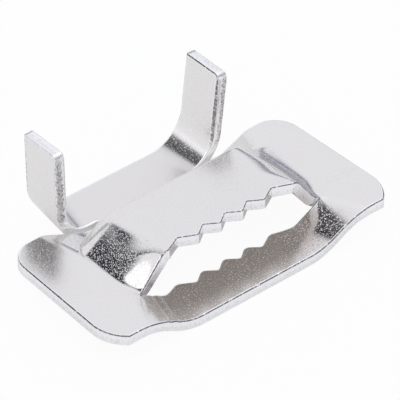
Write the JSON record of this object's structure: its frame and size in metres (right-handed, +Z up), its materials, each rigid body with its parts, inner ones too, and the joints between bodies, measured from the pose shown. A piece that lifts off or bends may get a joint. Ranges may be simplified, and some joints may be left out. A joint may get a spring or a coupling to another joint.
{
  "type": "strapping buckle",
  "caption": "Stamped sheet-steel strapping buckle with a raised toothed hood over a slot, a lowered toothed front strip and upright ears that are folded down over a steel band.",
  "frame": {"origin": "on the resting plane, under the middle of the part's bounding box", "axes": "+X along the buckle's length, +Y from the front edge towards the ears, +Z up, away from the surface it rests on"},
  "size_m": [0.0318, 0.0198, 0.0101],
  "materials": {
    "steel": "bright stainless sheet, fine grain"
  },
  "bodies": {
    "root": {"buckle": "steel"}
  },
  "joints": []
}
